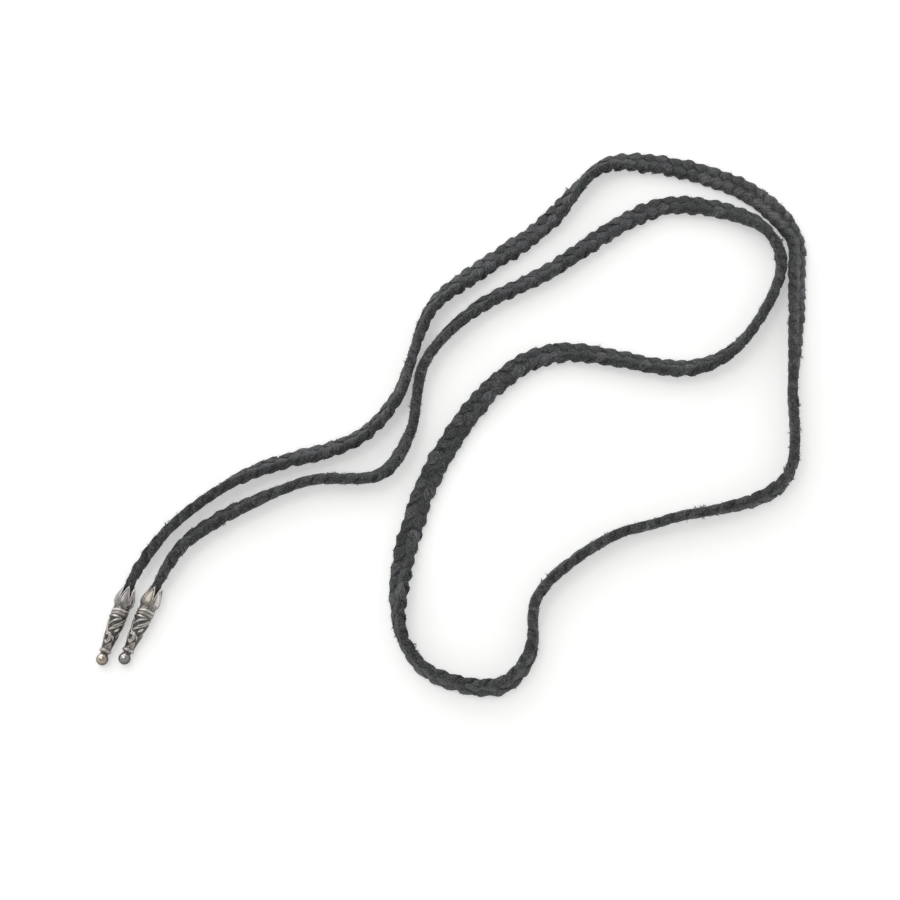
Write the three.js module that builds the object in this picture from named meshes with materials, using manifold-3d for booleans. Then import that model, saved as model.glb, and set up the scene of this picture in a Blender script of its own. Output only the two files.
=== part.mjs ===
// A braided leather lace necklace with a cast silver tip on each end, folded in two and laid on a table.
// Millimetres, +Z up. The origin is on the table, under the middle of the necklace as it lies.
// +X runs from the tips towards the loop, and +Y across it.

import * as THREE from "three";
import { mergeVertices } from "three/addons/utils/BufferGeometryUtils.js";
import Module from "manifold-3d";

const wasm = await Module();
wasm.setup();

// ---- the lace: a flat plait of three strands, 1.15 m between the tips ----

// The lace's middle line on the table, from the left tip's socket, round the loop, to the right tip's.
const laceRoute = [
  [-118.6, -72.1],
  [-115.5, -62.5],
  [-104, -45],
  [-78, -25.5],
  [-38, -11],
  [-25, 4],
  [-12, 40],
  [3, 53.5],
  [30, 74],
  [56, 100],
  [106, 89.5],
  [123, 69],
  [123, 51],
  [119, 12],
  [113, -28],
  [70, -42.5],
  [50, -49],
  [25, -70],
  [22, -90],
  [12, -101.5],
  [-13, -96.5],
  [-23, -80],
  [-15, -32],
  [10, 8.5],
  [32, 22],
  [82, 16],
  [99, 24],
  [116, 50],
  [117.5, 62],
  [110, 74.5],
  [76, 82.5],
  [30, 54],
  [3, 38.5],
  [-14.5, 18],
  [-20, -10],
  [-30, -25],
  [-57, -28],
  [-97, -49],
  [-106, -63],
  [-109.6, -72.3],
];
const stepsBetweenPoints = 2;
const lengthsBetweenPoints = 60;

// How the lace lies: at each distance along it, its roll about its own line in degrees, 0 where it lies
// flat and 90 where it stands on edge, and its width and thickness. It is round where a tip grips it.
const laceLay = [
  { along: 0, roll: -84, width: 2.7, thickness: 2.7 },
  { along: 5, roll: -84, width: 2.9, thickness: 2.9 },
  { along: 10, roll: -84, width: 4.4, thickness: 3.4 },
  { along: 18, roll: -80, width: 6.2, thickness: 3.7 },
  { along: 30, roll: -74, width: 6.6, thickness: 3.8 },
  { along: 54, roll: -74, width: 7.0, thickness: 3.8 },
  { along: 66, roll: -50, width: 7.0, thickness: 3.8 },
  { along: 90, roll: -42, width: 7.1, thickness: 3.8 },
  { along: 112, roll: -50, width: 7.0, thickness: 3.8 },
  { along: 132, roll: -68, width: 7.0, thickness: 3.8 },
  { along: 141, roll: -84, width: 7.0, thickness: 3.7 },
  { along: 152, roll: -74, width: 7.0, thickness: 3.8 },
  { along: 182, roll: -32, width: 7.4, thickness: 3.8 },
  { along: 206, roll: -14, width: 7.1, thickness: 3.7 },
  { along: 222, roll: -26, width: 7.4, thickness: 3.7 },
  { along: 244, roll: -70, width: 7.2, thickness: 3.8 },
  { along: 264, roll: -18, width: 7.4, thickness: 3.7 },
  { along: 300, roll: 0, width: 7.8, thickness: 3.7 },
  { along: 327, roll: -4, width: 8.0, thickness: 3.7 },
  { along: 336, roll: -42, width: 7.5, thickness: 3.7 },
  { along: 350, roll: -52, width: 7.5, thickness: 3.7 },
  { along: 370, roll: -52, width: 7.4, thickness: 3.7 },
  { along: 397, roll: -84, width: 7.0, thickness: 3.9 },
  { along: 426, roll: -80, width: 7.0, thickness: 3.9 },
  { along: 440, roll: -78, width: 7.0, thickness: 3.8 },
  { along: 462, roll: -104, width: 7.0, thickness: 3.8 },
  { along: 525, roll: -106, width: 7.0, thickness: 3.8 },
  { along: 552, roll: -78, width: 7.0, thickness: 3.9 },
  { along: 564, roll: -68, width: 7.2, thickness: 3.9 },
  { along: 612, roll: -86, width: 7.2, thickness: 3.8 },
  { along: 634, roll: -34, width: 7.4, thickness: 3.7 },
  { along: 644, roll: 0, width: 7.5, thickness: 3.7 },
  { along: 695, roll: 0, width: 7.6, thickness: 3.7 },
  { along: 715, roll: -16, width: 7.6, thickness: 3.7 },
  { along: 738, roll: -14, width: 7.6, thickness: 3.7 },
  { along: 765, roll: -36, width: 7.4, thickness: 3.7 },
  { along: 792, roll: -42, width: 7.2, thickness: 3.7 },
  { along: 806, roll: -64, width: 7.0, thickness: 3.7 },
  { along: 820, roll: -82, width: 7.0, thickness: 3.8 },
  { along: 848, roll: -92, width: 7.0, thickness: 3.8 },
  { along: 860, roll: -108, width: 7.0, thickness: 3.8 },
  { along: 875, roll: -156, width: 7.0, thickness: 3.7 },
  { along: 908, roll: -166, width: 7.0, thickness: 3.7 },
  { along: 935, roll: -148, width: 7.1, thickness: 3.7 },
  { along: 980, roll: -138, width: 7.0, thickness: 3.7 },
  { along: 996, roll: -120, width: 7.0, thickness: 3.8 },
  { along: 1022, roll: -93, width: 7.0, thickness: 3.8 },
  { along: 1038, roll: -96, width: 7.0, thickness: 3.8 },
  { along: 1056, roll: -120, width: 7.0, thickness: 3.8 },
  { along: 1100, roll: -112, width: 7.0, thickness: 3.8 },
  { along: 1118, roll: -128, width: 7.0, thickness: 3.8 },
  { along: 1134, roll: -128, width: 7.0, thickness: 3.8 },
  { along: 1145, roll: -114, width: 6.6, thickness: 3.8 },
  { along: 1152, roll: -112, width: 5.0, thickness: 3.5 },
  { along: 1157, roll: -112, width: 2.9, thickness: 2.9 },
  { along: 1162, roll: -112, width: 2.7, thickness: 2.7 },
];

// A quarter of the lace's outline, as shares of half its width and half its thickness.
const laceQuarter = [
  [1, 0.3],
  [0.86, 0.74],
  [0.5, 1],
];
const laceSink = 6;
const laceLeadIn = { start: 8, end: 18 };

// ---- the tips: cast silver, a ball, a tapering shank, a double collar and a cup of six petals ----

const ballRadius = 2.1;
const ballArcSteps = 7;
const neckRadius = 1.35;

// The outline beyond the ball, as distance from the ball's end and radius, up to the petals' points.
const tipOutline = [
  [4.3, 1.35],
  [4.6, 1.9],
  [5.1, 2.2],
  [5.6, 1.9],
  [5.9, 1.75],
  [9.7, 2.33],
  [15.9, 2.95],
  [17.2, 3.07],
  [17.9, 2.85],
  [18.55, 3.15],
  [19.1, 2.92],
  [19.65, 3.2],
  [20.2, 2.9],
  [21.5, 2.92],
  [21.9, 3.25],
  [22.8, 3.48],
  [24.1, 3.42],
  [25.5, 3.08],
  [26.9, 2.6],
  [28.9, 2.15],
];
// The socket that the lace's end sits in, from the mouth down to its floor.
const socketOutline = [
  [28.9, 1.9],
  [26.8, 2.15],
  [25.4, 2.55],
  [24, 2.75],
  [22.2, 2.4],
  [22.2, 0],
];
const tipLength = 28.9;
const cupWidest = { along: 22.8, radius: 3.48 };
const tipSides = 36;

const petalCount = 6;
const notchFoot = 23.6;
const notchHalfWidth = 1.1;
const notchShoulder = 26.8;
const notchReach = 5;
const notchOvershoot = 0.6;

// Where each tip lies: its ball's middle, the way it points from ball to mouth, and its turn.
const tipPlaces = [
  { name: "left_tip", ball: [-125.06, -91.83], heading: 71.9, turn: 8 },
  { name: "right_tip", ball: [-117.41, -91.55], heading: 67.8, turn: -6 },
];

const leatherLook = { color: 0x27282a, roughness: 0.85, metalness: 0 };
const silverLook = { color: 0x8d8680, roughness: 0.35, metalness: 1 };

// Ball and cup both rest on the table, so a tip's axis rises towards its mouth by this angle.
function tipRise() {
  const run = cupWidest.along - ballRadius;
  return Math.atan2(cupWidest.radius, run) - Math.asin(ballRadius / Math.hypot(run, cupWidest.radius));
}

function layAt(along) {
  const next = laceLay.findIndex((row) => row.along >= along);
  if (next < 1) return next === 0 ? laceLay[0] : laceLay[laceLay.length - 1];
  const before = laceLay[next - 1];
  const after = laceLay[next];
  const share = (along - before.along) / (after.along - before.along);
  return {
    roll: THREE.MathUtils.lerp(before.roll, after.roll, share),
    width: THREE.MathUtils.lerp(before.width, after.width, share),
    thickness: THREE.MathUtils.lerp(before.thickness, after.thickness, share),
  };
}

// The lace's middle line with its roll. Extruding along it gives the lace its changing section,
// because the two directions that it returns are as long as half the width and half the thickness.
class LacePath extends THREE.Curve {
  constructor() {
    super();
    const points = laceRoute.map(([x, y]) => new THREE.Vector3(x, y, 0));
    this.plan = new THREE.CatmullRomCurve3(points, false, "centripetal");
    this.plan.arcLengthDivisions = (laceRoute.length - 1) * lengthsBetweenPoints;
    this.lengths = this.plan.getLengths();
  }

  alongAt(t) {
    const place = t * (this.lengths.length - 1);
    const index = Math.min(Math.floor(place), this.lengths.length - 2);
    return THREE.MathUtils.lerp(this.lengths[index], this.lengths[index + 1], place - index);
  }

  // How far the rolled outline reaches below the lace's middle.
  reachBelow(lay) {
    const roll = THREE.MathUtils.degToRad(lay.roll);
    const rises = laceQuarter.map(([across, face]) => {
      const rise = Math.abs(Math.sin(roll)) * across * lay.width;
      return (rise + Math.abs(Math.cos(roll)) * face * lay.thickness) / 2;
    });
    return Math.max(...rises);
  }

  // In a tip the lace is on the tip's axis. A little way out of it, it rests on the table.
  heightAt(along) {
    const fromEnd = Math.min(along, this.lengths[this.lengths.length - 1] - along);
    const axisRun = tipLength - ballRadius - laceSink + fromEnd;
    const onAxis = ballRadius + axisRun * Math.sin(tipRise());
    const resting = this.reachBelow(layAt(along));
    const share = THREE.MathUtils.smoothstep(fromEnd, laceLeadIn.start, laceLeadIn.end);
    return THREE.MathUtils.lerp(onAxis, resting, share);
  }

  getPoint(t, target = new THREE.Vector3()) {
    this.plan.getPoint(t, target);
    target.z = this.heightAt(this.alongAt(t));
    return target;
  }

  // Steps are even between the route's points, so they are closer together round the bends.
  getSpacedPoints(steps) {
    return this.getPoints(steps);
  }

  computeFrenetFrames(steps) {
    const frames = { tangents: [], normals: [], binormals: [] };
    const up = new THREE.Vector3(0, 0, 1);
    for (let step = 0; step <= steps; step += 1) {
      const lay = layAt(this.alongAt(step / steps));
      const forward = this.plan.getTangent(step / steps);
      const side = new THREE.Vector3().crossVectors(up, forward).normalize();
      const roll = THREE.MathUtils.degToRad(lay.roll);
      const across = side.clone().multiplyScalar(Math.cos(roll)).addScaledVector(up, Math.sin(roll));
      const face = up.clone().multiplyScalar(Math.cos(roll)).addScaledVector(side, -Math.sin(roll));
      frames.tangents.push(forward);
      frames.normals.push(across.multiplyScalar(lay.width / 2));
      frames.binormals.push(face.multiplyScalar(lay.thickness / 2));
    }
    return frames;
  }
}

function laceOutline() {
  const corners = [];
  for (const [side, rise] of [[1, 1], [-1, 1], [-1, -1], [1, -1]]) {
    const quarter = laceQuarter.map(([across, face]) => new THREE.Vector2(side * across, rise * face));
    if (side !== rise) quarter.reverse();
    corners.push(...quarter);
  }
  return new THREE.Shape(corners);
}

function makeLace() {
  const geometry = new THREE.ExtrudeGeometry(laceOutline(), {
    steps: (laceRoute.length - 1) * stepsBetweenPoints,
    extrudePath: new LacePath(),
  });
  const lace = new THREE.Mesh(geometry, new THREE.MeshStandardMaterial(leatherLook));
  lace.name = "braided_lace";
  return lace;
}

function toSolid(geometry) {
  const plain = geometry.clone();
  plain.deleteAttribute("normal");
  plain.deleteAttribute("uv");
  const merged = mergeVertices(plain);
  return new wasm.Manifold(new wasm.Mesh({
    numProp: 3,
    vertProperties: Float32Array.from(merged.attributes.position.array),
    triVerts: Uint32Array.from(merged.index.array),
  }));
}

function toGeometry(solid) {
  const mesh = solid.getMesh();
  const geometry = new THREE.BufferGeometry();
  geometry.setAttribute("position", new THREE.BufferAttribute(mesh.vertProperties, mesh.numProp));
  geometry.setIndex(new THREE.BufferAttribute(mesh.triVerts, 1));
  geometry.computeVertexNormals();
  return geometry;
}

// The tip without its petals: a closed turning about +Y, from the ball's end at the origin to the mouth.
function tipTurning() {
  const outline = [];
  const lastAngle = Math.PI - Math.asin(neckRadius / ballRadius);
  for (let step = 0; step <= ballArcSteps; step += 1) {
    const angle = lastAngle * step / ballArcSteps;
    const radius = step === 0 ? 0 : ballRadius * Math.sin(angle);
    outline.push(new THREE.Vector2(radius, ballRadius * (1 - Math.cos(angle))));
  }
  for (const [along, radius] of [...tipOutline, ...socketOutline]) {
    outline.push(new THREE.Vector2(radius, along));
  }
  return new THREE.LatheGeometry(outline, tipSides);
}

// The pointed gap between two petals, as wide as a petal at the mouth. It reaches outwards along +Z.
function petalNotch() {
  const top = tipLength + notchOvershoot;
  const gap = new THREE.Shape();
  gap.moveTo(0, notchFoot);
  gap.quadraticCurveTo(notchHalfWidth * 0.3, notchShoulder, notchHalfWidth, tipLength);
  gap.lineTo(notchHalfWidth, top);
  gap.lineTo(-notchHalfWidth, top);
  gap.lineTo(-notchHalfWidth, tipLength);
  gap.quadraticCurveTo(-notchHalfWidth * 0.3, notchShoulder, 0, notchFoot);
  return new THREE.ExtrudeGeometry(gap, { depth: notchReach, curveSegments: 3, bevelEnabled: false });
}

function tipGeometry() {
  let solid = toSolid(tipTurning());
  for (let petal = 0; petal < petalCount; petal += 1) {
    const angle = (petal + 0.5) * 2 * Math.PI / petalCount;
    solid = solid.subtract(toSolid(petalNotch().rotateY(angle)));
  }
  return toGeometry(solid);
}

function makeTips() {
  const geometry = tipGeometry();
  const rise = tipRise();
  return tipPlaces.map(({ name, ball, heading, turn }) => {
    const tip = new THREE.Mesh(geometry, new THREE.MeshStandardMaterial(silverLook));
    const direction = THREE.MathUtils.degToRad(heading);
    tip.name = name;
    tip.rotation.set(rise, THREE.MathUtils.degToRad(turn), direction - Math.PI / 2, "ZXY");
    const axis = new THREE.Vector3(
      Math.cos(rise) * Math.cos(direction),
      Math.cos(rise) * Math.sin(direction),
      Math.sin(rise),
    );
    tip.position.set(ball[0], ball[1], ballRadius).addScaledVector(axis, -ballRadius);
    return tip;
  });
}

const group = new THREE.Group();
group.add(makeLace(), ...makeTips());

export default group;
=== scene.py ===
import math

import bmesh
import bpy
import numpy as np
from mathutils import Matrix, Vector


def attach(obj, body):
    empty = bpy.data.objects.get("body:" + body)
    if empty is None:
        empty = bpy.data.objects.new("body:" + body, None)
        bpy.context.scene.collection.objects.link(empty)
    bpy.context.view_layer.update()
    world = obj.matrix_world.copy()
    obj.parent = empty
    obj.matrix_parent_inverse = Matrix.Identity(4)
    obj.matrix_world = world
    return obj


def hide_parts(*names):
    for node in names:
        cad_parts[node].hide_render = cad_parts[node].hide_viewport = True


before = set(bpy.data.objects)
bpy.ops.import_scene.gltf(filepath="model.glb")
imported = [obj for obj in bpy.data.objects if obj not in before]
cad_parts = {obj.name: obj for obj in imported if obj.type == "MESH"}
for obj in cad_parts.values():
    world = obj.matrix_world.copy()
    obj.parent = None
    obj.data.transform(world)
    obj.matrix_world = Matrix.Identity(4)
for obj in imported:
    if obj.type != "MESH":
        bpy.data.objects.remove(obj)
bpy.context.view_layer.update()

mm = 0.001


# ---- helpers ----

def smoothStep(value, low, high):
    share = np.clip((np.asarray(value, float) - low) / (high - low), 0, 1)
    return share * share * (3 - 2 * share)


# One smooth line through given points, as rows of coordinates.
def smoothLine(points, steps):
    points = np.asarray(points, float)
    padded = np.vstack([2 * points[0] - points[1], points, 2 * points[-1] - points[-2]])
    pieces = []
    for p0, p1, p2, p3 in zip(padded, padded[1:], padded[2:], padded[3:]):
        knots = np.cumsum([0] + [np.linalg.norm(b - a) ** 0.5 for a, b in ((p0, p1), (p1, p2), (p2, p3))])
        t = np.linspace(knots[1], knots[2], steps, endpoint=False)[:, None]

        def blend(a, b, start, end):
            return ((knots[end] - t) * a + (t - knots[start]) * b) / (knots[end] - knots[start])

        first = blend(blend(p0, p1, 0, 1), blend(p1, p2, 1, 2), 0, 2)
        second = blend(blend(p1, p2, 1, 2), blend(p2, p3, 2, 3), 1, 3)
        pieces.append(blend(first, second, 1, 2))
    return np.vstack(pieces + [points[-1:]])


def lengthsAlong(line):
    return np.concatenate([[0], np.cumsum(np.linalg.norm(np.diff(line, axis=0), axis=1))])


def unit(vectors):
    return vectors / np.linalg.norm(vectors, axis=-1, keepdims=True)


# A smooth random line of about unit spread, with one draw for each stretch of the given length.
def wobble(rng, along, stretch):
    knots = np.arange(along[0] - 2 * stretch, along[-1] + 3 * stretch, stretch)
    draws = rng.normal(size=len(knots))
    place = np.clip((along - knots[0]) / stretch, 0, len(knots) - 2)
    index = place.astype(int)
    share = place - index
    share = share * share * (3 - 2 * share)
    return draws[index] * (1 - share) + draws[index + 1] * share


def addObject(name, mesh, material, smooth=True):
    made = bpy.data.objects.new(name, mesh)
    bpy.context.scene.collection.objects.link(made)
    mesh.materials.clear()
    mesh.materials.append(material)
    mesh.polygons.foreach_set("use_smooth", [smooth] * len(mesh.polygons))
    return made


def coordinates(mesh):
    flat = np.empty(len(mesh.vertices) * 3)
    mesh.vertices.foreach_get("co", flat)
    return flat.reshape(-1, 3)


def setAttribute(mesh, name, values):
    layer = mesh.attributes.new(name, "FLOAT", "POINT")
    layer.data.foreach_set("value", np.asarray(values, np.float32))


# A flat sheet of quads whose corners run from 0 to 1 both ways, to be wrapped into a shape.
def unitSheet(name, columns, rows):
    bm = bmesh.new()
    bm.loops.layers.uv.new("sheet")
    place = Matrix.Translation((0.5, 0.5, 0))
    bmesh.ops.create_grid(bm, x_segments=columns, y_segments=rows, size=0.5, matrix=place, calc_uvs=True)
    mesh = bpy.data.meshes.new(name)
    bm.to_mesh(mesh)
    bm.free()
    return mesh


# ---- camera ----

view = {
    "target": (-5.5, -14.5, 0),  # mm
    "distance": 630,
    "elevation": 70,  # degrees
    "lens": 70,
    "sensor": 36,
}


def buildCamera():
    tilt = math.radians(view["elevation"])
    target = Vector(view["target"]) * mm
    back = Vector((0, -math.cos(tilt), math.sin(tilt)))
    data = bpy.data.cameras.new("camera")
    data.lens = view["lens"]
    data.sensor_width = view["sensor"]
    camera = bpy.data.objects.new("camera", data)
    bpy.context.scene.collection.objects.link(camera)
    camera.location = target + back * view["distance"] * mm
    camera.rotation_euler = back.to_track_quat("Z", "Y").to_euler()
    bpy.context.scene.camera = camera
    print("camera in place")


# ---- shader maths ----

class Wire:
    # One output socket. Arithmetic on it adds Math nodes to its material.
    def __init__(self, finish, socket):
        self.finish = finish
        self.socket = socket

    def math(self, operation, *others, swapped=False):
        values = list(others[:1]) + [self] + list(others[1:]) if swapped else [self] + list(others)
        return self.finish.node("ShaderNodeMath", {"operation": operation}, dict(enumerate(values)))

    def __add__(self, other):
        return self.math("ADD", other)

    __radd__ = __add__

    def __sub__(self, other):
        return self.math("SUBTRACT", other)

    def __rsub__(self, other):
        return self.math("SUBTRACT", other, swapped=True)

    def __mul__(self, other):
        return self.math("MULTIPLY", other)

    __rmul__ = __mul__

    def __truediv__(self, other):
        return self.math("DIVIDE", other)

    def __rtruediv__(self, other):
        return self.math("DIVIDE", other, swapped=True)

    def __pow__(self, other):
        return self.math("POWER", other)

    # 0 below low, 1 above high, and smooth between.
    def ramp(self, low, high):
        settings = {"interpolation_type": "SMOOTHSTEP"}
        return self.finish.node("ShaderNodeMapRange", settings, {"Value": self, 1: low, 2: high})


class Finish:
    def __init__(self, name, **constants):
        self.material = bpy.data.materials.new(name)
        self.material.use_nodes = True
        self.tree = self.material.node_tree
        self.shader = self.tree.nodes["Principled BSDF"]
        for socket, value in constants.items():
            self.shader.inputs[socket].default_value = value

    def node(self, kind, settings=None, sockets=None, output=0):
        made = self.tree.nodes.new(kind)
        for key, value in (settings or {}).items():
            setattr(made, key, value)
        for key, value in (sockets or {}).items():
            if isinstance(value, Wire):
                self.tree.links.new(value.socket, made.inputs[key])
            else:
                made.inputs[key].default_value = value
        return Wire(self, made.outputs[output])

    def feed(self, socket, wire):
        self.tree.links.new(wire.socket, self.shader.inputs[socket])

    def mix(self, share, first, second, blend="MIX"):
        settings = {"data_type": "RGBA", "blend_type": blend, "clamp_factor": True}
        return self.node("ShaderNodeMix", settings, {0: share, 6: first, 7: second}, output=2)

    def attribute(self, name):
        return self.node("ShaderNodeAttribute", {"attribute_name": name}, output=2)

    def place(self):
        return self.node("ShaderNodeTexCoord", output=3)

    def noise(self, vector, scale, detail=3, roughness=0.6, distortion=0):
        sockets = {"Vector": vector, "Scale": scale, "Detail": detail, "Roughness": roughness,
                   "Distortion": distortion}
        return self.node("ShaderNodeTexNoise", None, sockets)

    def bump(self, height, distance, strength=1.0):
        sockets = {"Height": height, "Distance": distance, "Strength": strength}
        return self.node("ShaderNodeBump", None, sockets)


# ---- the lace: three strips of black leather in a flat plait ----

lace = {
    # the middle line on the table, in mm, from the left tip's socket round to the right tip's
    "route": [
        (-118.6, -72.1), (-115.5, -62.5), (-104, -45), (-78, -25.5), (-38, -11), (-25, 4),
        (-12, 40), (3, 53.5), (30, 74), (56, 100), (106, 89.5), (123, 69), (123, 51), (119, 12),
        (113, -28), (70, -42.5), (50, -49), (25, -70), (22, -90), (12, -101.5), (-13, -96.5),
        (-23, -80), (-15, -32), (10, 8.5), (32, 22), (82, 16), (99, 24), (116, 50), (117.5, 62),
        (110, 74.5), (76, 82.5), (30, 54), (3, 38.5), (-14.5, 18), (-20, -10), (-30, -25),
        (-57, -28), (-97, -49), (-106, -63), (-109.6, -72.3),
    ],
    # along, roll in degrees, width and thickness
    "lay": [
        (0, -84, 2.7, 2.7), (5, -84, 2.9, 2.9), (9, -84, 3.9, 3.5), (13, -83, 5.0, 3.8),
        (18, -80, 6.2, 3.8), (30, -74, 6.6, 3.8), (54, -74, 7.0, 3.8), (66, -50, 7.0, 3.8),
        (90, -42, 7.1, 3.8), (112, -50, 7.0, 3.8), (132, -68, 7.0, 3.8), (141, -84, 7.0, 4.2),
        (152, -74, 7.0, 3.8), (182, -32, 7.4, 3.8), (206, -14, 7.1, 3.7), (222, -26, 7.4, 3.7),
        (244, -70, 7.2, 3.8), (264, -18, 7.4, 3.7), (300, 0, 7.8, 3.7), (327, -4, 8.0, 3.7),
        (336, -42, 8.0, 3.8), (350, -52, 8.0, 3.9), (370, -52, 7.4, 3.7), (397, -84, 7.0, 3.9),
        (426, -80, 7.0, 3.9), (440, -78, 7.0, 3.8), (462, -104, 7.0, 3.8), (525, -106, 7.0, 3.8),
        (552, -78, 7.0, 3.9), (564, -68, 7.2, 3.9), (612, -86, 7.2, 3.8), (634, -34, 7.4, 3.7),
        (644, 0, 7.5, 3.7), (695, 0, 7.6, 3.7), (715, -16, 7.6, 3.7), (738, -14, 7.6, 3.7),
        (765, -36, 7.4, 3.7), (792, -38, 7.2, 3.7), (806, -64, 7.0, 3.7), (820, -82, 7.0, 3.8),
        (836, -88, 7.0, 4.1), (848, -92, 7.0, 4.3), (860, -112, 7.0, 4.2), (875, -156, 7.0, 3.7),
        (908, -166, 7.0, 3.7), (935, -148, 7.1, 3.7), (980, -138, 7.0, 3.7), (996, -120, 7.0, 3.8),
        (1009, -106, 7.3, 4.1), (1022, -95, 7.1, 4.3), (1038, -96, 7.0, 3.8),
        (1056, -120, 7.0, 3.8), (1100, -112, 7.0, 3.8), (1118, -128, 7.0, 3.8),
        (1134, -128, 7.0, 3.8), (1145, -114, 6.6, 3.8), (1151, -112, 5.6, 3.9),
        (1157, -112, 3.1, 3.1), (1162, -112, 2.7, 2.7),
    ],
    # along, and the length in which a strip goes across and back
    "pitch": [(0, 16.2), (290, 15), (318, 13.4), (385, 13.4), (410, 15.4), (430, 16.2), (1163, 16.2)],
    "strips": 3,
    "hand": 1,
    "step": 0.6,
    "sides": 14,
    "fullGirth": 10.6,  # width and thickness together where the strips have their full size
    "leastSqueeze": 0.45,
    "stripWidth": 4.5,
    "stripThickness": 1.7,
    "swell": 0.1,  # share that a strip is wider where it shows
    "turnOver": 0.35,  # how slowly a strip turns over at the plait's edges
    "squareness": 0.85,
    "overreach": (0.6, 0.3),  # how far the strips would stand out if the plait were not pressed flat
    "pressFrom": (0.9, 0.35),
    "pressTo": (0.5, 0.6),
    "pressMatted": (0.3, -0.35),
    "drawnIn": 0.55,  # how much narrower the matted plait is on each side
    "core": {
        "sides": 12,
        "every": 2,
        "inset": (0.5, 0.65),
        "edgeFill": 0.42,  # how much less that is across where the plait stands on its edge
        "squareness": 0.6,
        "look": {"crown": 0.4, "cellTint": 0.6, "cellHue": 0.55, "matted": 0.6},
    },
    # along, and how far nap and wear have closed the creases there, which also weakens their painted shade
    "matted": [(0, 0.3), (30, 0.7), (120, 0.7), (160, 0.8), (290, 0.8), (315, 0.1), (370, 0.2),
               (395, 0.6), (630, 0.6), (650, 0.3), (830, 0.4), (870, 0.6), (1000, 0.8), (1140, 0.6),
               (1163, 0.3)],
    # along, and how far the plait is squeezed smooth: glossier, with painted crown highlights and crease
    # shade
    "pressedGlossAndShade": [(0, 0), (270, 0), (305, 1), (345, 1), (375, 0.2), (500, 0), (1163, 0)],
    "sink": 6,  # how deep the ends sit in the tips' sockets
    "leadIn": (8, 18),
    "bendEase": 3,
    "seed": 11,
}

# ---- the tips: cast silver, a ball, a shank with scrolls, a double collar and a cup of petals ----

tip = {
    "ballRadius": 2.1,
    "neckRadius": 1.35,
    "neckAt": 3.5,
    "length": 28.9,
    "widest": (22.8, 3.48),
    # distance from the ball's end and radius, in mm
    "outline": [
        (4.3, 1.35), (4.6, 1.9), (5.1, 2.2), (5.6, 1.9), (5.9, 1.75), (9.7, 2.33), (15.9, 2.95),
        (17.2, 3.07), (17.9, 2.85), (18.55, 3.15), (19.1, 2.92), (19.65, 3.2), (20.2, 2.9),
        (21.5, 2.92), (21.9, 3.25), (22.8, 3.48), (24.1, 3.42), (25.5, 3.08), (26.9, 2.6),
        (28.9, 2.15),
    ],
    "socket": [(28.9, 1.9), (26.8, 2.15), (25.4, 2.55), (24, 2.75), (22.2, 2.4), (22.2, 0)],
    "petals": 6,
    "notch": {"foot": 23.6, "shoulder": 26.8, "halfWidth": 1.1},
    "columns": 24,
    "rows": 226,
    "lipRows": 44,
    "socketRows": 16,
    "reliefZone": (6.0, 17.9),
    "ground": -0.2,
    "collarWave": 0.22,
    "places": {
        "left_tip": {"ball": (-125.06, -91.83), "heading": 71.9, "turn": 8},
        "right_tip": {"ball": (-117.41, -91.55), "heading": 67.8, "turn": -6},
    },
    # each raised form of the relief: its spine as degrees round from the top and distance from the
    # ball's end, its half width along that spine, its level and the height of its rim, in mm.
    # Everything comes again on the other side of the tip.
    "relief": [
        {"spine": [(24, 5.6), (32, 7), (41, 8.3)], "half": [1.4, 0.85, 0.1], "top": -0.03, "rim": 0.1},
        {"spine": [(-36, 10.7), (-20, 11.0), (0, 10.8), (9, 9.8), (1, 8.6), (-14, 8.0), (-31, 8.4)],
         "half": [0.25, 0.45, 0.55, 0.6, 0.55, 0.5, 0.3], "top": 0.04, "rim": 0.05},
        {"spine": [(-25, 11.1), (-40, 12.0), (-50, 13.6), (-55, 15)], "half": [0.45, 0.3, 0.22, 0.2],
         "top": 0.02, "rim": 0.04},
        {"spine": [(-57, 14.4), (-56, 15.7)], "half": [0.62, 0.55], "top": 0.0, "rim": 0.12},
        {"spine": [(-22, 12.3), (10, 13.6), (45, 15.1), (79, 16.8), (98, 17.3)],
         "half": [0.15, 0.55, 0.62, 0.55, 0.4], "top": -0.02, "rim": 0.14},
        {"spine": [(-42, 14.1), (-10, 15.6), (20, 16.6), (42, 17.2)], "half": [0.2, 0.34, 0.3, 0.15],
         "top": 0.06, "rim": 0.0},
        {"spine": [(25, 12.0), (42, 12.9), (57, 13.7)], "half": [0.12, 0.5, 0.1], "top": 0.03, "rim": 0.07},
        {"spine": [(58, 10.4), (78, 12.2), (96, 14.1)], "half": [0.12, 0.26, 0.16], "top": 0.07, "rim": 0.0},
        {"spine": [(93, 9.2), (97, 9.2)], "half": [0.6, 0.6], "top": -0.04, "rim": 0.15},
        {"spine": [(-76, 6.2), (-70, 9), (-60, 12)], "half": [0.3, 0.85, 0.1], "top": 0.0, "rim": 0.1},
        {"spine": [(-50, 17.3), (-10, 17.45), (34, 17.5)], "half": [0.12, 0.42, 0.12], "top": 0.06,
         "rim": 0.0},
        {"spine": [(20, 10.6), (34, 10.1), (46, 9.0)], "half": [0.1, 0.34, 0.08], "top": 0.02, "rim": 0.06},
    ],
    # hollows: middle, half sizes round and along, depth
    "hollows": [((-21, 9.5), (0.42, 0.55), 0.12), ((95, 9.2), (0.2, 0.2), 0.15)],
    # how worn the metal is along the tip, from 0 in the blackened hollows to 1 on the bright ridges
    "wear": [
        (0, 0.5), (3.1, 0.5), (3.8, 0.12), (4.3, 0.12), (4.75, 0.5), (5.1, 0.9), (5.45, 0.5), (5.8, 0.2),
        (6.1, 0.15), (17.7, 0.15), (18.0, 0.15), (18.4, 0.75), (18.8, 0.5), (19.1, 0.08), (19.4, 0.6),
        (19.7, 1.0), (20.0, 0.7), (20.3, 0.3), (21.6, 0.32), (22.2, 0.45), (23.2, 0.5), (28.9, 0.65),
    ],
}


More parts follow.
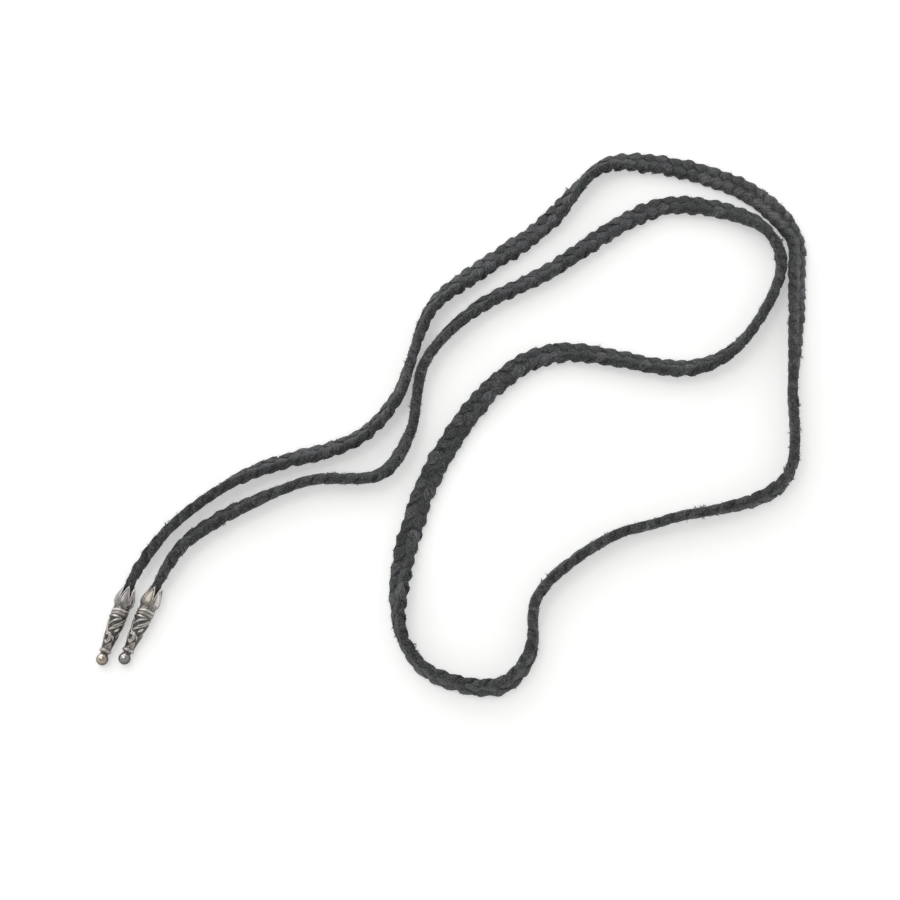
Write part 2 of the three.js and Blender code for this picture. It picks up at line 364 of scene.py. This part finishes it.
def tipRise():
    along, radius = tip["widest"]
    run = along - tip["ballRadius"]
    return math.atan2(radius, run) - math.asin(tip["ballRadius"] / math.hypot(run, radius))


# The lace's middle line with its two section directions, one row for each step along it.
def laceFrame():
    fine = smoothLine(lace["route"], 60)
    reach = lengthsAlong(fine)
    along = np.linspace(0, reach[-1], int(round(reach[-1] / lace["step"])) + 1)
    plan = np.stack([np.interp(along, reach, fine[:, axis]) for axis in (0, 1)], axis=1)
    lay = np.array(lace["lay"], float)
    spread = int(3 * lace["bendEase"] / lace["step"])
    kernel = np.exp(-0.5 * (np.arange(-spread, spread + 1) * lace["step"] / lace["bendEase"]) ** 2)
    kernel /= kernel.sum()

    def eased(column):
        line = np.interp(along, lay[:, 0], lay[:, column])
        return np.convolve(np.pad(line, spread, mode="edge"), kernel, mode="valid")

    roll = np.radians(eased(1))
    width = eased(2)
    thickness = eased(3)
    forward = unit(np.gradient(plan, axis=0))
    forward = np.column_stack([forward, np.zeros(len(along))])
    up = np.tile((0.0, 0.0, 1.0), (len(along), 1))
    side = np.cross(up, forward)
    across = side * np.cos(roll)[:, None] + up * np.sin(roll)[:, None]
    face = up * np.cos(roll)[:, None] - side * np.sin(roll)[:, None]
    return {"along": along, "plan": plan, "across": across, "face": face,
            "width": width, "thickness": thickness, "roll": roll}


# The share of their full size that the strips keep where the plait narrows towards its ends.
def squeezeAlong(line):
    return np.clip((line["width"] + line["thickness"]) / lace["fullGirth"], lace["leastSqueeze"], 1)


# How high the middle line runs, so that the plait rests on the table and its ends sit in the tips.
def laceHeights(line, reachBelow):
    fromEnd = np.minimum(line["along"], line["along"][-1] - line["along"])
    run = tip["length"] - tip["ballRadius"] - lace["sink"] + fromEnd
    onAxis = tip["ballRadius"] + run * math.sin(tipRise())
    share = smoothStep(fromEnd, *lace["leadIn"])
    return onAxis * (1 - share) + reachBelow * share


# Each strip's middle, section directions and sizes, without the middle line's own height.
def stripCourse(line, number, rng):
    along = line["along"]
    pitch = np.array(lace["pitch"], float)
    rate = 1 / np.interp(along, pitch[:, 0], pitch[:, 1])
    turns = np.concatenate([[0], np.cumsum((rate[1:] + rate[:-1]) / 2 * np.diff(along))])
    turns = turns + number / lace["strips"] + 0.02 * wobble(rng, along, 9)
    angle = 2 * math.pi * turns * lace["hand"]
    squeeze = squeezeAlong(line)
    halfThickness = lace["stripThickness"] / 2 * squeeze
    matted = np.interp(along, *np.array(lace["matted"]).T)
    widthReach = line["width"] / 2 - halfThickness + lace["overreach"][0] * squeeze
    widthReach = widthReach - lace["drawnIn"] * matted * squeeze
    heightReach = line["thickness"] / 2 - halfThickness + lace["overreach"][1] * squeeze
    sideways = -widthReach * np.cos(angle) + 0.2 * wobble(rng, along, 4)
    upward = heightReach * np.sin(2 * angle) + 0.15 * wobble(rng, along, 4)
    course = line["across"] * sideways[:, None] + line["face"] * upward[:, None]
    course[:, :2] += line["plan"]
    ease = lace["turnOver"]
    swing = np.sin(angle) * math.sqrt(1 + ease * ease) / np.sqrt(np.sin(angle) ** 2 + ease * ease)
    lean = math.pi / 2 * (swing - 1) + 0.14 * wobble(rng, along, 4)
    outward = line["across"] * np.sin(lean)[:, None] + line["face"] * np.cos(lean)[:, None]
    shows = np.sin(2 * angle) ** 2
    halfWidth = lace["stripWidth"] / 2 * squeeze * (1 - lace["swell"] + 2 * lace["swell"] * shows)
    halfWidth = halfWidth * (1 + 0.11 * wobble(rng, along, 3))
    halfThickness = halfThickness * (1 + 0.06 * wobble(rng, along, 4))
    return {"course": course, "outward": outward, "halfWidth": halfWidth,
            "halfThickness": halfThickness, "angle": angle, "turns": turns}


# The plait as if pressed: whatever stands out past its flat faces and edges is pushed back.
def pressedFlat(line, points, row):
    offset = points - np.column_stack([line["plan"][row], np.zeros(len(row))])
    matted = np.interp(line["along"], *np.array(lace["matted"]).T)[row]
    shares = [share + change * matted for share, change in zip(lace["pressTo"], lace["pressMatted"])]
    for way, size, margin, share in zip(("across", "face"), ("width", "thickness"), lace["pressFrom"],
                                        shares):
        direction = line[way][row]
        reach = np.sum(offset * direction, axis=1)
        limit = line[size][row] / 2 - margin * np.clip(line[size][row] / 4, 0.5, 1)
        over = np.maximum(np.abs(reach) - limit, 0)
        pushed = np.sign(reach) * over * (share - 1)
        points = points + direction * pushed[:, None]
    return points


# A plain round-cornered core, so that nothing shows through between the strips.
def coreMesh(line):
    core = lace["core"]
    rows = np.arange(0, len(line["along"]), core["every"])
    mesh = unitSheet("core", core["sides"], len(rows) - 1)
    sheet = coordinates(mesh)
    row = rows[np.rint(sheet[:, 1] * (len(rows) - 1)).astype(int)]
    turn = 2 * math.pi * np.rint(sheet[:, 0] * core["sides"]) / core["sides"]
    reaches = [np.sign(wave) * np.abs(wave) ** core["squareness"] for wave in (np.cos(turn), np.sin(turn))]
    points = np.column_stack([line["plan"][row], np.zeros(len(row))])
    squeeze = squeezeAlong(line)[row]
    onEdge = np.sin(line["roll"][row]) ** 2
    insets = (core["inset"][0] - core["edgeFill"] * onEdge, core["inset"][1])
    for way, size, inset, reach in zip(("across", "face"), ("width", "thickness"), insets, reaches):
        half = np.maximum(line[size][row] / 2 - inset * squeeze, 0.3)
        points = points + line[way][row] * (half * reach)[:, None]
    return mesh, points, row


def stripMesh(line, number, rng):
    strip = stripCourse(line, number, rng)
    count = len(line["along"]) - 1
    mesh = unitSheet("strip", lace["sides"], count)
    sheet = coordinates(mesh)
    row = np.rint(sheet[:, 1] * count).astype(int)
    turn = 2 * math.pi * np.rint(sheet[:, 0] * lace["sides"]) / lace["sides"]
    tangent = unit(np.gradient(strip["course"], axis=0))
    outward = strip["outward"] - tangent * np.sum(strip["outward"] * tangent, axis=1)[:, None]
    outward = unit(outward)
    flatWay = np.cross(tangent, outward)
    square = lace["squareness"]
    broad = np.sign(np.cos(turn)) * np.abs(np.cos(turn)) ** square
    thick = np.sign(np.sin(turn)) * np.abs(np.sin(turn)) ** square
    grain = rng.normal(size=(count + 1, lace["sides"]))
    column = np.rint(sheet[:, 0] * lace["sides"]).astype(int) % lace["sides"]
    rough = 1 + 0.055 * grain[row, column]
    points = strip["course"][row]
    points = points + flatWay[row] * (broad * rough * strip["halfWidth"][row])[:, None]
    points = points + outward[row] * (thick * rough * strip["halfThickness"][row])[:, None]
    return mesh, pressedFlat(line, points, row), row, strip, broad, thick


def buildLace(finish):
    rng = np.random.default_rng(lace["seed"])
    line = laceFrame()
    strips = [stripMesh(line, number, rng) for number in range(lace["strips"])]
    # the lowest point of the three strips near each step, which is what rests on the table
    lowest = np.full(len(line["along"]), 0.0)
    for mesh, points, row, strip, broad, thick in strips:
        np.minimum.at(lowest, row, points[:, 2])
    window = int(6 / lace["step"])
    padded = np.pad(lowest, window, mode="edge")
    lowest = np.array([padded[i:i + 2 * window + 1].min() for i in range(len(lowest))])
    kernel = np.hanning(2 * window + 3)[1:-1]
    lowest = np.convolve(np.pad(lowest, window, mode="edge"), kernel / kernel.sum(), mode="valid")
    heights = laceHeights(line, -lowest)
    bm = bmesh.new()
    for mesh, points, row, strip, broad, thick in strips:
        points[:, 2] += heights[row]
        points[:, 2] = np.maximum(points[:, 2], 0.02)
        mesh.vertices.foreach_set("co", (points * mm).ravel())
        lobe = np.floor(strip["turns"] * 4)
        tints = rng.uniform(size=int(lobe.max()) + 2)
        lobeShare = strip["turns"] * 4 - lobe
        nearNext = np.clip((lobeShare - 0.85) / 0.15, 0, 1)
        index = lobe.astype(int)
        tint = tints[index] * (1 - nearNext) + tints[index + 1] * nearNext
        top = np.abs(np.sin(2 * strip["angle"]))
        hues = rng.uniform(size=int(lobe.max()) + 2)
        hue = hues[index] * (1 - nearNext) + hues[index + 1] * nearNext
        pressedGlossAndShade = np.interp(line["along"], *np.array(lace["pressedGlossAndShade"]).T)
        setAttribute(mesh, "cellTint", tint[row])
        setAttribute(mesh, "cellHue", hue[row])
        setAttribute(mesh, "pressedGlossAndShade", pressedGlossAndShade[row])
        setAttribute(mesh, "matted", np.interp(line["along"], *np.array(lace["matted"]).T)[row])
        setAttribute(mesh, "widthwise", broad * strip["halfWidth"][row])
        setAttribute(mesh, "crown", top[row])
        setAttribute(mesh, "brim", np.abs(broad))
        setAttribute(mesh, "along", line["along"][row])
        bm.from_mesh(mesh)
    mesh, points, row = coreMesh(line)
    points[:, 2] = np.maximum(points[:, 2] + heights[row], 0.1)
    mesh.vertices.foreach_set("co", (points * mm).ravel())
    for look, value in lace["core"]["look"].items():
        setAttribute(mesh, look, np.full(len(row), value))
    setAttribute(mesh, "along", line["along"][row])
    bm.from_mesh(mesh)
    bmesh.ops.remove_doubles(bm, verts=bm.verts, dist=1e-7)
    bmesh.ops.holes_fill(bm, edges=[edge for edge in bm.edges if edge.is_boundary], sides=lace["sides"])
    bmesh.ops.recalc_face_normals(bm, faces=bm.faces)
    joined = bpy.data.meshes.new("braided_leather")
    bm.to_mesh(joined)
    bm.free()
    made = addObject("braided_leather", joined, finish)
    made.data.calc_loop_triangles()
    print("lace:", len(made.data.loop_triangles), "triangles")
    middle = np.column_stack([line["plan"], heights]) * mm
    return made, middle


def leatherFinish(name):
    finish = Finish(name)
    shader = finish.shader.inputs
    shader["Specular IOR Level"].default_value = 0.3
    shader["Sheen Weight"].default_value = 0.16
    shader["Sheen Roughness"].default_value = 0.4
    shader["Sheen Tint"].default_value = (0.8, 0.85, 0.9, 1)
    place = finish.place()
    cell = finish.attribute("cellTint")
    hue = finish.attribute("cellHue")
    crown = finish.attribute("crown")
    brim = finish.attribute("brim")
    pressedGlossAndShade = finish.attribute("pressedGlossAndShade")
    matted = finish.attribute("matted")
    lengthwise = finish.node("ShaderNodeCombineXYZ", None, {
        0: finish.attribute("widthwise") * 3.2, 1: finish.attribute("along") * 0.42, 2: cell * 40})
    streaks = finish.noise(lengthwise, 1, 3, 0.6, 0.3)
    patches = finish.noise(place, 70, 2)
    nap = finish.noise(place, 1900, 4, 0.7)
    grain = finish.noise(place, 3800, 2, 0.6)
    shift = hue * 0.35 + patches * 0.9
    cool = finish.mix(cell.ramp(0.55, 0.7), (0.0395, 0.043, 0.0388, 1), (0.0345, 0.042, 0.0445, 1))
    tint = finish.mix(shift.ramp(0.5, 0.8), cool, (0.044, 0.0435, 0.048, 1))
    pale = finish.mix(shift.ramp(0.5, 0.8), (0.148, 0.158, 0.153, 1), (0.160, 0.159, 0.167, 1))
    drawn = streaks.ramp(0.44, 0.6) * (0.1 + hue * hue * 0.7)
    level = cell * 0.15 + drawn + nap.ramp(0.42, 0.58) * 0.5 + grain.ramp(0.43, 0.57) * 0.28
    dark = finish.mix(level.ramp(0.1, 0.6), (0.024, 0.0245, 0.0255, 1), tint)
    # the leather's own tone from cells, streaks, nap and grain, plus a painted highlight on lobe crowns
    # where pressed
    toneAndCrownHighlight = finish.mix((level + pressedGlossAndShade * (crown.ramp(0.4, 1) * 0.2 - 0.06)).ramp(0.55, 1.1), dark, pale)
    # painted shade: creases between lobes and the strips' edges go towards near black, more where pressed,
    # less where matted
    creaseShade = (1 - crown.ramp(0.0, 0.4)) * 0.65 + brim.ramp(0.8, 1) * (0.25 + pressedGlossAndShade * 0.6)
    shaded = finish.mix(creaseShade.ramp(0, 1) * (0.45 + pressedGlossAndShade * 0.45 - matted * 0.45), toneAndCrownHighlight,
                        (0.017, 0.0175, 0.018, 1))
    bare = finish.noise(place, 420, 3, 0.65)
    rawEdge = (bare * brim).ramp(0.54, 0.66) * 0.45
    coloured = finish.mix(rawEdge, shaded, (0.075, 0.058, 0.044, 1))
    finish.feed("Base Color", coloured)
    finish.feed("Roughness", 0.86 - nap * 0.2 - pressedGlossAndShade * 0.3 - cell * 0.1)
    wrinkles = finish.noise(place, 700, 3, 0.6, 0.6)
    height = nap * 0.8 + grain * 0.6 + wrinkles * 0.7 + streaks * 1.2
    finish.feed("Normal", finish.bump(height, 0.0004, 1.0))
    return finish.material


# Short loose fibres standing out of the leather, all in one mesh of copies of one thin cone.
nap = {
    "count": 26000,
    "length": (0.4, 1.6),  # mm
    "radius": 0.1,
    "lowest": 0.5,
    "sideways": 4,  # how much denser the fibres are on the plait's sides
    "scatter": 0.9,
    "root": 0.1,
    "tufts": 420,
    "inTufts": 6000,
    "tuftSpread": 0.25,
    "tuftGrowth": 1.5,
    "seed": 5,
}


def buildNap(braid, finish):
    rng = np.random.default_rng(nap["seed"])
    count = nap["count"]
    bm = bmesh.new()
    bmesh.ops.create_cone(bm, cap_ends=True, segments=3, radius1=1, radius2=0, depth=1,
                          matrix=Matrix.Translation((0, 0, 0.5)))
    corners = len(bm.verts)
    single = bpy.data.meshes.new("fibre")
    bm.to_mesh(single)
    bm.free()
    source = addObject("fibre", single, finish)
    copies = source.modifiers.new("copies", "ARRAY")
    copies.count = count
    copies.use_relative_offset = False
    copies.use_constant_offset = True
    copies.constant_offset_displace = (0, 0, 0)
    graph = bpy.context.evaluated_depsgraph_get()
    mesh = bpy.data.meshes.new_from_object(source.evaluated_get(graph))
    bpy.data.objects.remove(source)
    surface = coordinates(braid.data)
    normals = np.empty(len(braid.data.vertices) * 3)
    braid.data.vertices.foreach_get("normal", normals)
    normals = normals.reshape(-1, 3)
    shown = np.flatnonzero((surface[:, 2] > nap["lowest"] * mm) & (normals[:, 2] > -0.5))
    sideways = 1 + nap["sideways"] * (1 - np.abs(normals[shown, 2])) ** 2
    chances = sideways / sideways.sum()
    root = rng.choice(shown, count, p=chances)
    # the first fibres stand in tufts, each with one root and one lean
    tuft = rng.integers(0, nap["tufts"], nap["inTufts"])
    root[:len(tuft)] = rng.choice(shown, nap["tufts"], p=chances)[tuft]
    lean = nap["scatter"] * rng.normal(size=(count, 3))
    lean[:len(tuft)] = 0.4 * lean[:len(tuft)] + (0.8 * rng.normal(size=(nap["tufts"], 3)))[tuft]
    heading = unit(normals[root] + lean)
    heading[:, 2] = np.abs(heading[:, 2])
    side = unit(np.cross(heading, rng.normal(size=(count, 3))))
    other = np.cross(heading, side)
    length = rng.uniform(*nap["length"], count) * rng.uniform(0.4, 1, count) * mm
    length[:len(tuft)] *= nap["tuftGrowth"]
    start = surface[root] - normals[root] * nap["root"] * mm
    start[:len(tuft)] += nap["tuftSpread"] * mm * rng.normal(size=(len(tuft), 3))
    flat = coordinates(mesh)
    fibre = np.arange(len(flat)) // corners
    points = start[fibre] + heading[fibre] * (flat[:, 2] * length[fibre])[:, None]
    points += side[fibre] * (flat[:, 0] * nap["radius"] * mm)[:, None]
    points += other[fibre] * (flat[:, 1] * nap["radius"] * mm)[:, None]
    mesh.vertices.foreach_set("co", points.ravel())
    setAttribute(mesh, "shade", rng.uniform(size=count)[fibre])
    mesh.name = "leather_nap"
    made = addObject("leather_nap", mesh, finish, smooth=False)
    made.data.calc_loop_triangles()
    print("nap:", len(made.data.loop_triangles), "triangles")
    return made


def napFinish(name):
    finish = Finish(name, Roughness=0.9)
    finish.shader.inputs["Specular IOR Level"].default_value = 0.2
    shade = finish.attribute("shade")
    grey = finish.mix(shade.ramp(0.1, 0.85), (0.035, 0.036, 0.037, 1), (0.20, 0.205, 0.21, 1))
    colour = finish.mix(shade.ramp(0.85, 0.92), grey, (0.26, 0.215, 0.18, 1))
    finish.feed("Base Color", colour)
    return finish.material


# The outline of a tip's outside, from the ball's end to the petals' points, as along and radius.
def tipOutline():
    lastAngle = math.pi - math.asin(tip["neckRadius"] / tip["ballRadius"])
    angles = np.linspace(0, lastAngle, 12)
    ball = np.column_stack([1 - np.cos(angles), np.sin(angles)]) * tip["ballRadius"]
    line = smoothLine(ball[:-1].tolist() + tip["outline"], 24)
    reach = lengthsAlong(line)
    foot = np.interp(tip["notch"]["foot"], line[:, 0], reach)
    before = np.linspace(0, foot, tip["rows"])
    lip = np.linspace(tip["notch"]["foot"], tip["length"], tip["lipRows"])[1:]
    along = np.concatenate([np.interp(before, reach, line[:, 0]), lip])
    radius = np.interp(np.concatenate([before, np.interp(lip, line[:, 0], reach)]), reach, line[:, 1])
    return along, radius


# The socket inside the petals, from their points down to its floor.
def tipSocket():
    line = np.array(tip["socket"], float)
    lip = np.linspace(tip["length"], tip["notch"]["foot"], tip["lipRows"])
    reach = lengthsAlong(line)
    start = np.interp(-tip["notch"]["foot"], -line[:-1, 0], reach[:-1])
    rest = np.linspace(start, reach[-1], tip["socketRows"])[1:]
    along = np.concatenate([lip, np.interp(rest, reach, line[:, 0])])
    lipRadius = np.interp(-lip, -line[:-1, 0], line[:-1, 1])
    return along, np.concatenate([lipRadius, np.interp(rest, reach, line[:, 1])])


# Half the angle that a petal takes up, with the pointed notches cut away from it.
def petalHalfAngle(along, radius):
    notch = tip["notch"]
    t = np.linspace(0, 1, 40)
    places = (1 - t) ** 2 * notch["foot"] + 2 * t * (1 - t) * notch["shoulder"] + t ** 2 * tip["length"]
    widths = 2 * t * (1 - t) * 0.3 * notch["halfWidth"] + t ** 2 * notch["halfWidth"]
    gap = np.arcsin(np.clip(np.interp(along, places, widths) / np.maximum(radius, 0.1), 0, 1))
    gap = np.where(along > notch["foot"], gap, 0)
    return np.maximum(math.pi / tip["petals"] - gap, math.radians(0.6))


# How far the two collar rings wander along the tip, in mm, at angles in degrees.
def collarWave(around, along):
    swing = np.sin(np.radians(around)) + 0.6 * np.sin(np.radians(3 * around + 30))
    return -tip["collarWave"] * swing * smoothStep(along, 17.6, 18.3) * (1 - smoothStep(along, 20.2, 21))


# Height in mm and wear from 0 to 1 of the relief, at angles in degrees and places along the tip.
def reliefAt(around, along, radius):
    start, end = tip["reliefZone"]
    inside = smoothStep(along, start, start + 0.35) * (1 - smoothStep(along, end - 0.3, end))
    ground = tip["ground"]
    height = np.full(len(around), ground)
    for form in tip["relief"]:
        spine = smoothLine(form["spine"], 12)
        share = np.linspace(0, 1, len(spine))
        half = np.interp(share, np.linspace(0, 1, len(form["half"])), form["half"])
        turn = (around[:, None] - spine[None, :, 0] + 90) % 180 - 90
        apart = np.hypot(np.radians(turn) * radius[:, None], along[:, None] - spine[None, :, 1]) - half
        over = apart.min(axis=1)
        body = 1 - smoothStep(over, -0.16, 0.1)
        rim = np.exp(-((over + 0.12) / 0.1) ** 2)
        height = np.maximum(height, ground + (form["top"] - ground) * body + form["rim"] * rim)
    for middle, sizes, depth in tip["hollows"]:
        turn = (around - middle[0] + 90) % 180 - 90
        apart = np.hypot(np.radians(turn) * radius / sizes[0], (along - middle[1]) / sizes[1])
        height = height - depth * (1 - smoothStep(apart, 0.6, 1.15))
    worn = np.clip((height - ground) / (0.1 - ground), 0, 1)
    table = np.array(tip["wear"])
    plain = np.interp(along + collarWave(around, along), table[:, 0], table[:, 1])
    return height * inside, plain * (1 - inside) + (0.08 + 0.92 * worn) * inside


def buildTip(name, place, finish):
    rise = tipRise()
    heading = math.radians(place["heading"])
    axis = np.array([math.cos(heading) * math.cos(rise), math.sin(heading) * math.cos(rise), math.sin(rise)])
    right = np.array([math.sin(heading), -math.cos(heading), 0])
    top = np.cross(right, axis)
    origin = np.array([*place["ball"], tip["ballRadius"]]) - axis * tip["ballRadius"]
    outline = tipOutline()
    bm = bmesh.new()
    for (rowAlong, rowRadius), isOutside in ((outline, True), (tipSocket(), False)):
        for petal in range(tip["petals"]):
            mesh = unitSheet("tipSheet", tip["columns"], len(rowAlong) - 1)
            sheet = coordinates(mesh)
            row = np.rint(sheet[:, 1] * (len(rowAlong) - 1)).astype(int)
            across = np.rint(sheet[:, 0] * tip["columns"]) / tip["columns"] * 2 - 1
            along = rowAlong[row]
            radius = rowRadius[row]
            outer = np.interp(along, outline[0], outline[1])
            half = petalHalfAngle(along, outer)
            around = across * half + 2 * math.pi * petal / tip["petals"] + math.radians(place["turn"])
            wear = np.full(len(along), 0.05)
            if isOutside:
                wave = collarWave(np.degrees(around), along)
                radius = np.where(wave == 0, radius, np.interp(along + wave, outline[0], outline[1]))
                height, wear = reliefAt(np.degrees(around), along, radius)
                edge = (1 - np.abs(across)) * half * radius
                onCup = smoothStep(along, 21.9, 22.9)
                foot = tip["notch"]["foot"]
                rim = np.exp(-((edge - 0.24) / 0.14) ** 2) * onCup
                groove = np.exp(-(edge / 0.19) ** 2) * onCup
                groove = groove * (1 - smoothStep(along, foot - 0.1, foot + 0.1))
                height = height + 0.12 * rim - 0.28 * groove
                inner = np.exp(-((edge - 0.56) / 0.15) ** 2) * onCup
                height = height - 0.07 * inner
                wear = np.maximum(wear - 0.6 * inner, rim) * (1 - groove)
                radius = np.where(along > 0.3, radius + height, radius)
            spoke = right * np.sin(around)[:, None] + top * np.cos(around)[:, None]
            points = origin + axis * along[:, None] + spoke * radius[:, None]
            # painted highlight: the ball's outside is brighter the higher it faces, written into the wear
            # value
            facing = (points[:, 2] - tip["ballRadius"]) / tip["ballRadius"]
            paintedBallHighlight = 0.1 + 0.75 * smoothStep(facing, 0.3, 1.0)
            wear = np.where(isOutside & (along < tip["neckAt"]), paintedBallHighlight, wear)
            mesh.vertices.foreach_set("co", (points * mm).ravel())
            setAttribute(mesh, "wear", wear)
            setAttribute(mesh, "along", along)
            setAttribute(mesh, "around", (np.degrees(around) + 180) % 360 / 360)
            bm.from_mesh(mesh)
    bmesh.ops.remove_doubles(bm, verts=bm.verts, dist=1e-7)
    bmesh.ops.bridge_loops(bm, edges=[edge for edge in bm.edges if edge.is_boundary])
    bmesh.ops.recalc_face_normals(bm, faces=bm.faces)
    joined = bpy.data.meshes.new(name + "_silver")
    bm.to_mesh(joined)
    bm.free()
    made = addObject(name + "_silver", joined, finish)
    made.data.calc_loop_triangles()
    print(name + ":", len(made.data.loop_triangles), "triangles")
    return made


silver = {
    "recess": (0.075, 0.070, 0.066, 1),
    "middle": (0.30, 0.28, 0.26, 1),
    "bright": (0.88, 0.85, 0.82, 1),
    "left_tip": {"ball": (0.34, 0.275, 0.22, 1), "cup": (0.36, 0.355, 0.35, 1),
                 "stain": (0.42, 0.375, 0.37, 1), "stainAt": 0.62, "glintAt": 0.7},
    "right_tip": {"ball": (0.18, 0.18, 0.185, 1), "cup": (0.35, 0.33, 0.33, 1),
                  "stain": (0.43, 0.39, 0.335, 1), "stainAt": 0.5, "glintAt": 0.67},
}


def silverFinish(name, look):
    finish = Finish(name, Metallic=1.0, Roughness=0.3)
    place = finish.place()
    # the wear value holds the metal's wear, and on the ball a painted highlight on its upper side
    wear = finish.attribute("wear")
    along = finish.attribute("along")
    around = finish.attribute("around")
    cloud = finish.noise(place, 520, 4, 0.65)
    fine = finish.noise(place, 2600, 3, 0.6)
    speckled = along.ramp(20.1, 20.5) * (1 - along.ramp(21.6, 22.4))
    # painted highlight: one petal of the cup, at glintAt round the tip, is made brighter
    glint = 1 - ((around - look["glintAt"]) * (around - look["glintAt"])).ramp(0.001, 0.006)
    worn = wear + (cloud - 0.5) * 0.45 + (fine.ramp(0.4, 0.6) - 0.5) * (0.14 + speckled * 0.6)
    worn = worn + glint * along.ramp(22.1, 22.9) * 0.4
    onBall = 1 - along.ramp(3.4, 3.9)
    onCup = along.ramp(22.1, 22.9)
    nearStain = 1 - ((around - look["stainAt"]) * (around - look["stainAt"])).ramp(0.002, 0.012)
    stained = finish.mix((cloud * 0.5 + nearStain * 0.6).ramp(0.3, 0.75), look["cup"], look["stain"])
    middle = finish.mix(onCup, silver["middle"], stained)
    middle = finish.mix(onBall, middle, look["ball"])
    low = finish.mix(worn.ramp(0.0, 0.45), silver["recess"], middle)
    colour = finish.mix(worn.ramp(0.6, 1.15), low, silver["bright"])
    finish.feed("Base Color", colour)
    finish.feed("Roughness", 0.48 - worn.ramp(0.1, 0.9) * 0.22 - onBall * 0.1 + (fine - 0.5) * 0.1)
    height = cloud * 0.6 + fine * 0.4
    finish.feed("Normal", finish.bump(height, 0.00016, 0.8))
    return finish.material


# ---- stage and light ----

stage = {
    "floorRadius": 1.5,
    "wallRadius": 2.1,
    "wallHeight": 1.6,
    "floorColour": (0.76, 0.76, 0.755, 1),
    "world": (1.0, 1.0, 1.0),
    "floorGlow": 0.52,  # the floor is a lit white table
    "worldStrength": 0.44,
    "lamps": {
        "key": {"at": (-0.45, 0.8, 0.62), "size": 1.5, "watts": 4.0},
        "low": {"at": (-0.4, 0.95, 0.36), "size": 1.1, "watts": 1.8},
        "top": {"at": (-0.35, 0.15, 1.0), "size": 0.5, "watts": 1.5},
    },
}


def buildStage():
    finish = Finish("paleFloor", Roughness=0.9)
    finish.shader.inputs["Base Color"].default_value = stage["floorColour"]
    finish.shader.inputs["Specular IOR Level"].default_value = 0.1
    finish.shader.inputs["Emission Color"].default_value = stage["floorColour"]
    finish.shader.inputs["Emission Strength"].default_value = stage["floorGlow"]
    bm = bmesh.new()
    rim = stage["floorRadius"]
    wall = stage["wallRadius"]
    curve = wall - rim
    bends = [math.radians(angle) for angle in range(0, 91, 15)]
    profile = [(0, 0)] + [(rim + curve * math.sin(a), curve * (1 - math.cos(a))) for a in bends]
    profile.append((wall, stage["wallHeight"]))
    corners = [bm.verts.new((x, 0, z)) for x, z in profile]
    edges = [bm.edges.new(pair) for pair in zip(corners, corners[1:])]
    bmesh.ops.spin(bm, geom=corners + edges, cent=(0, 0, 0), axis=(0, 0, 1), steps=64,
                   angle=2 * math.pi, use_merge=True)
    bmesh.ops.remove_doubles(bm, verts=bm.verts, dist=1e-5)
    bmesh.ops.recalc_face_normals(bm, faces=bm.faces)
    if sum(face.normal.z for face in bm.faces) < 0:
        bmesh.ops.reverse_faces(bm, faces=bm.faces)
    mesh = bpy.data.meshes.new("floor")
    bm.to_mesh(mesh)
    bm.free()
    floor = addObject("floor", mesh, finish.material)
    for name, lamp in stage["lamps"].items():
        data = bpy.data.lights.new(name, "AREA")
        data.shape = "DISK"
        data.size = lamp["size"]
        data.energy = lamp["watts"]
        light = bpy.data.objects.new(name, data)
        bpy.context.scene.collection.objects.link(light)
        light.location = lamp["at"]
        light.rotation_euler = Vector(lamp["at"]).to_track_quat("Z", "Y").to_euler()
    world = bpy.data.worlds.new("studio")
    bpy.context.scene.world = world
    world.use_nodes = True
    background = world.node_tree.nodes["Background"]
    background.inputs["Color"].default_value = (*stage["world"], 1)
    background.inputs["Strength"].default_value = stage["worldStrength"]
    bpy.context.scene.view_settings.view_transform = "Standard"
    print("stage and light in place")


# ---- making ----

buildCamera()
braid, middle = buildLace(leatherFinish("blackLeather"))
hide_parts("braided_lace")
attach(braid, "root")
napPiece = buildNap(braid, napFinish("leatherNap"))
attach(napPiece, "root")
for name, place in tip["places"].items():
    made = buildTip(name, place, silverFinish(name + "Silver", silver[name]))
    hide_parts(name)
    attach(made, "root")
buildStage()
